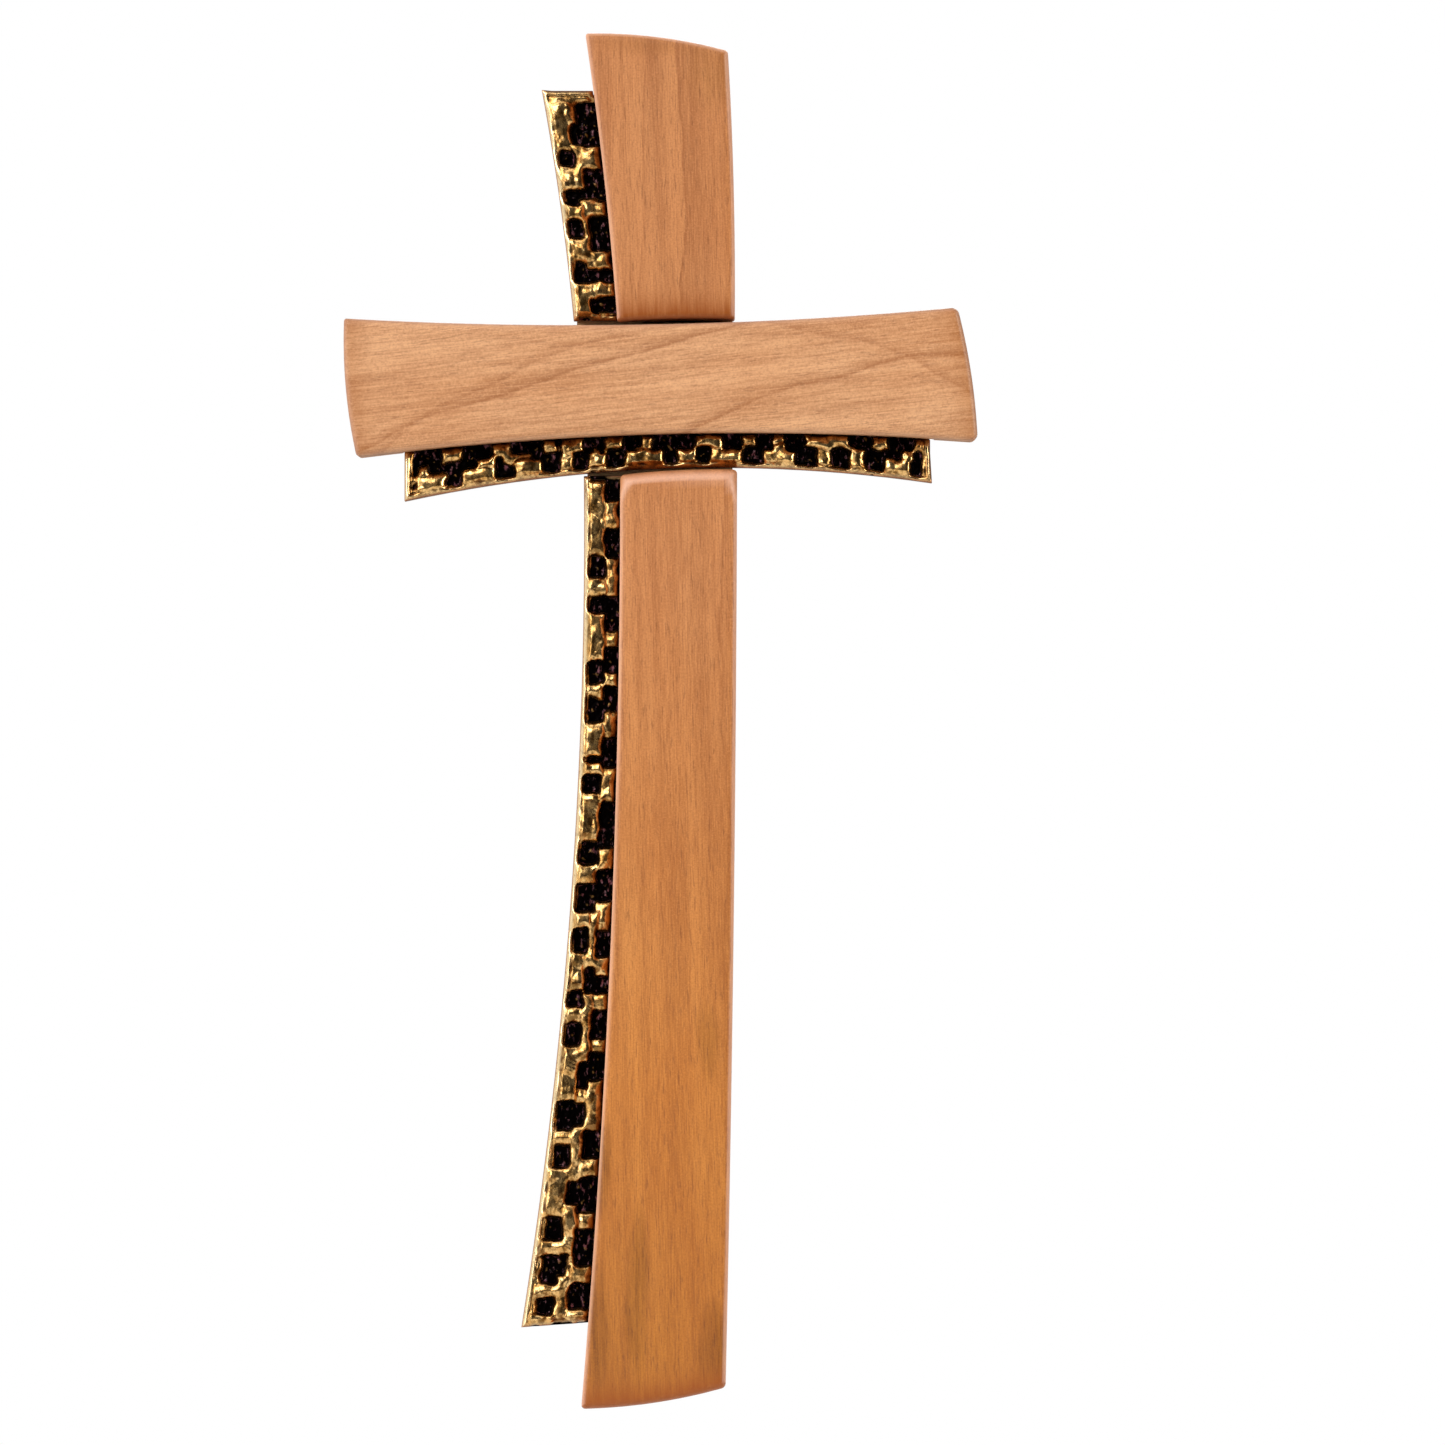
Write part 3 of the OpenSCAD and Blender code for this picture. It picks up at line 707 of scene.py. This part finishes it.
def upper_wood():
    lines = [
        Line(0.0025, -0.02, -1.1, 0.0004, 0.009, 0.75),
        Line(-0.0065, 0.03, 0.4, 0.0003, 0.005, 0.4),
    ]
    smudges = [Smudge(0.0085, 0.022, 0.0065, 0.012, 0.4), Smudge(-0.003, 0.0275, 0.015, 0.005, 0.35)]
    return wood("upper_cherry", CHERRY, "z", 0.03, (0.013, 0, 0.4), lines=lines, smudges=smudges)


def lower_wood():
    lines = [
        Line(0.0125, 0.018, 0.08, 0.0004, 0.006, 0.5),
        Line(-0.002, -0.012, 0.0, 0.0003, 0.008, 0.28),
        Line(0.006, 0.03, 0.2, 0.0003, 0.01, 0.2),
    ]
    # painted shade: darker and yellower towards the bottom of the long board
    shade_tints = [Tint(0.09, 0.2, (0.98, 0.9, 0.48)), Tint(0.2, 0.27, (0.78, 0.7, 0.38))]
    smudges = [
        Smudge(-0.0068, -0.247, 0.0028, 0.022, 1.0),
        Smudge(-0.0151, -0.2535, 0.003, 0.016, 0.9),
        Smudge(0.0088, -0.258, 0.0036, 0.012, 0.8),
        Smudge(-0.0145, -0.2187, 0.0024, 0.012, 0.8),
        Smudge(0.0077, -0.1915, 0.0034, 0.01, 0.6),
    ]
    features = {"lines": lines, "shade_tints": shade_tints, "smudges": smudges}
    return wood("lower_cherry", CHERRY, "z", 0.02, (0.31, 0, 0.9), **features)


def bar_wood():
    lines = [
        Line(-0.0383, 0.255, -1.59, 0.0005, 0.0026, 0.75),
        Line(-0.0348, 0.12, -5.25, 0.0005, 0.0026, 0.5),
        Line(-0.0604, 0.532, -3.64, 0.0005, 0.0026, 0.75),
        Line(-0.0330, 0.16, -1.0, 0.0007, 0.004, 0.3),
    ]
    return wood("crossbar_pear", PEAR, "x", 0.11, (0.3, 0, 0.02), 0.36, PEAR_EDGE_HIGHLIGHT, lines=lines)


# ---- bronze --------------------------------------------------------------------------------
def gold_tone(tree, patchy, spots, streaks, polish):
    """Gold colour of the polished tops, with painted shade in the hollows, a painted reflection of the boards
    with painted shade near them, brown stains, and a painted highlight on the left bevel.
    """
    tone = mixed(tree, rise(tree, patchy, 0.35, 0.65), linear(250, 206, 138), linear(216, 160, 88))
    tone = mixed(tree, fall(tree, spots, 0.4, 0.54, 0.85), tone, linear(104, 72, 30))
    tone = mixed(tree, fall(tree, streaks, 0.32, 0.46, 0.5), tone, linear(110, 78, 36))
    # painted reflection of the wooden boards, with painted shade, on the gold next to them
    board_reflection_shade = rise(tree, mark(tree, "shade"), 0.0, 0.75, 0.6)
    board_reflection_shade = times(tree, board_reflection_shade, ramp(tree, spots, [(0.4, 0.6), (0.6, 1.0)]))
    tone = mixed(tree, board_reflection_shade, tone, linear(160, 108, 46))
    low_gold = minus(tree, 1.0, rise(tree, polish, 0.45, 0.95))
    tone = mixed(tree, times(tree, low_gold, 0.6), tone, linear(120, 78, 32))
    stains = noise(tree, placed(tree), 330, 4.0, 0.65, 0.6)
    tone = mixed(tree, fall(tree, stains, 0.38, 0.48, 0.8), tone, linear(110, 66, 24))
    # painted shade in the hollows
    tone = mixed(tree, rise(tree, mark(tree, "hollow"), 0.04, 0.4, 0.85), tone, linear(72, 38, 16))
    # painted highlight along the left bevel
    painted_rim_highlight = times(tree, mark(tree, "rim"), ramp(tree, streaks, [(0.3, 0.4), (0.45, 1.0)]))
    tone = mixed(tree, painted_rim_highlight, tone, linear(255, 228, 180))
    return mixed(tree, mark(tree, "lip"), tone, linear(176, 112, 76))


def bronze():
    """Polished gold-coloured tops, black gritty patina with painted purple-brown glints in the sunk cells and
    a brown cast back.
    """
    mat, tree, shader = material("chased_bronze")
    here = placed(tree)
    patchy = noise(tree, here, 420, 4.0, 0.6)
    spots = noise(tree, placed(tree, (1, 1, 0.5)), 900, 3.0, 0.65)
    grit = noise(tree, here, 2200, 3.0, 0.7)
    streaks = noise(tree, placed(tree, (1, 1, 0.16), (0, 0.5, 0)), 2600, 3.0, 0.6)
    polish = mark(tree, "polish")
    front = mark(tree, "front")
    gold = gold_tone(tree, patchy, spots, streaks, polish)

    worn = plus(tree, polish, times(tree, patchy, 0.25))
    worn = minus(tree, worn, times(tree, mark(tree, "hollow"), 0.3))
    cover = rise(tree, worn, 0.24, 0.44)
    cast = mixed(tree, rise(tree, patchy, 0.25, 0.75), linear(186, 136, 92), linear(136, 94, 58))
    # black patina with patches of painted purple-brown glints
    patina_with_painted_glints = mixed(tree, rise(tree, spots, 0.58, 0.7), linear(3, 1, 1), linear(126, 66, 74))
    ground = mixed(tree, front, cast, patina_with_painted_glints)
    tree.links.new(mixed(tree, cover, ground, gold), shader.inputs["Base Color"])
    tree.links.new(ramp(tree, cover, [(0.0, 0.35), (1.0, 1.0)]), shader.inputs["Metallic"])
    shine = mixed(tree, front, (0.5, 0.5, 0.5), ramp(tree, spots, [(0.56, 0.01), (0.66, 0.55)]))
    tree.links.new(shine, shader.inputs["Specular IOR Level"])
    low_rough = ramp(tree, grit, [(0.4, 0.45), (0.7, 0.2)])
    gold_rough = ramp(tree, patchy, [(0.3, 0.15), (0.7, 0.3)])
    tree.links.new(mixed(tree, cover, low_rough, gold_rough), shader.inputs["Roughness"])
    bumped(tree, shader, plus(tree, times(tree, streaks, 0.5), times(tree, grit, 0.5)), 0.22, 0.1 * MM)
    return mat


# ---- fittings on the back ------------------------------------------------------------------
def zinc(name, tint):
    mat, tree, shader = material(name)
    brushed = noise(tree, placed(tree, (1, 1, 0.08)), 3000, 3.0, 0.6)
    cloud = noise(tree, placed(tree), 180, 3.0)
    tone = mixed(tree, rise(tree, cloud, 0.35, 0.65), tint, scaled(tint, 0.72))
    tree.links.new(tone, shader.inputs["Base Color"])
    tree.links.new(ramp(tree, brushed, [(0.3, 0.28), (0.7, 0.48)]), shader.inputs["Roughness"])
    shader.inputs["Metallic"].default_value = 1.0
    bumped(tree, shader, brushed, 0.25, 0.05 * MM)
    return mat


def finish_part(name, mat, bevel):
    """A CAD part kept as it is, with a material and softened edges."""
    obj = nodes[name]
    obj.data.materials.clear()
    obj.data.materials.append(mat)
    softened = obj.modifiers.new("edges", "BEVEL")
    softened.width = bevel
    softened.segments = 2
    softened.limit_method = "ANGLE"
    softened.angle_limit = math.radians(40)


board("crossbar_panel", EDGE_ROUND, bar_wood())
board("upper_shaft_panel", EDGE_ROUND, upper_wood())
board("lower_shaft_panel", END_ROUND, lower_wood())

bronze_metal = bronze()
for count, part in enumerate(("crossbar_relief", "upper_relief", "lower_relief")):
    casting(part, 10 * count + 7, bronze_metal)

finish_part("upright_batten", wood("batten_beech", BEECH, "z"), 0.5 * MM)
finish_part("crossbar_batten", wood("cross_batten_beech", BEECH, "x"), 0.5 * MM)
dowel_wood = wood("dowel_beech", PALE_BEECH, "z")
for part in ("panel_dowels", "lap_dowels"):
    finish_part(part, dowel_wood, 0.2 * MM)
finish_part("hanger_plate", zinc("plate_zinc", linear(200, 202, 206)), 0.15 * MM)
screw_zinc = zinc("screw_zinc", linear(206, 205, 200))
for part in ("relief_screws", "hanger_screws"):
    finish_part(part, screw_zinc, 0.05 * MM)


# ---- stage, light and camera ---------------------------------------------------------------
FLOOR_GAP = 0.06
FLOOR_RADIUS = 0.45
LIGHT_TARGET = (0, 0, -0.12)
CAMERA_DISTANCE = 1.6
SENSOR_WIDTH = 36.0
SEEN_HEIGHTS = 1.0485  # the square picture is this many times as high as the cross
VIEW_SHIFT = Vector((0.0135, 0, -0.0003))  # the cross stands left of the picture's middle


def area_light(name, place, size, power):
    data = bpy.data.lights.new(name, "AREA")
    data.shape = "RECTANGLE"
    data.size, data.size_y = size
    data.energy = power
    lamp = bpy.data.objects.new(name, data)
    bpy.context.scene.collection.objects.link(lamp)
    lamp.location = place
    lamp.rotation_euler = (Vector(LIGHT_TARGET) - Vector(place)).to_track_quat("-Z", "Y").to_euler()


def floor():
    """A pale round table top a little below the cross."""
    bm = bmesh.new()
    bmesh.ops.create_circle(bm, cap_ends=True, radius=FLOOR_RADIUS, segments=96)
    mesh = bpy.data.meshes.new("studio_floor")
    bm.to_mesh(mesh)
    bm.free()
    obj = bpy.data.objects.new("studio_floor", mesh)
    obj.location = (0, 0, cad_box[0].z - FLOOR_GAP)
    bpy.context.scene.collection.objects.link(obj)
    mat, tree, shader = material("pale_floor")
    shader.inputs["Base Color"].default_value = (0.8, 0.8, 0.8, 1)
    shader.inputs["Roughness"].default_value = 0.9
    mesh.materials.append(mat)


def world():
    """White to the eye; as a light it is bright at the upper left and dim at the right and below."""
    made = bpy.data.worlds.new("studio")
    bpy.context.scene.world = made
    made.use_nodes = True
    tree = made.node_tree
    background = tree.nodes["Background"]
    direction = shader_node(tree, "ShaderNodeTexCoord").outputs["Generated"]
    parts = shader_node(tree, "ShaderNodeSeparateXYZ", {0: direction})
    behind = plus(tree, times(tree, parts.outputs["Y"], 0.5), 0.5)
    upper_left = minus(tree, times(tree, parts.outputs["Z"], 0.45), times(tree, parts.outputs["X"], 0.9))
    upper_left = plus(tree, times(tree, upper_left, 0.5), 0.5)
    front_light = ramp(tree, upper_left, [(0.3, 0.07), (0.62, 0.16), (0.82, 1.0)])
    back_light = ramp(tree, upper_left, [(0.05, 0.3), (0.3, 0.12), (0.72, 0.36), (0.92, 0.9)])
    light = mixed(tree, rise(tree, behind, 0.3, 0.5), front_light, back_light)
    seen = shader_node(tree, "ShaderNodeLightPath").outputs["Is Camera Ray"]
    tree.links.new(mixed(tree, seen, light, (1.0, 1.0, 1.0)), background.inputs["Color"])
    background.inputs["Strength"].default_value = 1.0


def camera():
    low, high = cad_box
    data = bpy.data.cameras.new("camera")
    data.sensor_width = SENSOR_WIDTH
    data.sensor_fit = "HORIZONTAL"
    data.lens = SENSOR_WIDTH * CAMERA_DISTANCE / (SEEN_HEIGHTS * (high.z - low.z))
    cam = bpy.data.objects.new("camera", data)
    bpy.context.scene.collection.objects.link(cam)
    bpy.context.scene.camera = cam
    cam.location = (low + high) / 2 + VIEW_SHIFT
    cam.location.y = low.y - CAMERA_DISTANCE
    cam.rotation_euler = (math.pi / 2, 0, 0)


floor()
world()
camera()
bpy.context.scene.view_settings.view_transform = "Standard"
for name, place, size, power in (
    ("top_light", (0.0, -0.35, 1.2), (1.5, 0.5), 3),
    ("left_light", (-1.3, -0.55, 0.35), (0.4, 1.3), 7),
    ("right_light", (1.4, -0.6, 0.1), (0.4, 1.3), 15),
    ("high_front_light", (-0.75, -1.6, 0.85), (1.2, 1.2), 20),
    ("back_light", (0.5, 1.6, 0.8), (1.4, 1.0), 16),
):
    area_light(name, place, size, power)

bpy.context.view_layer.update()
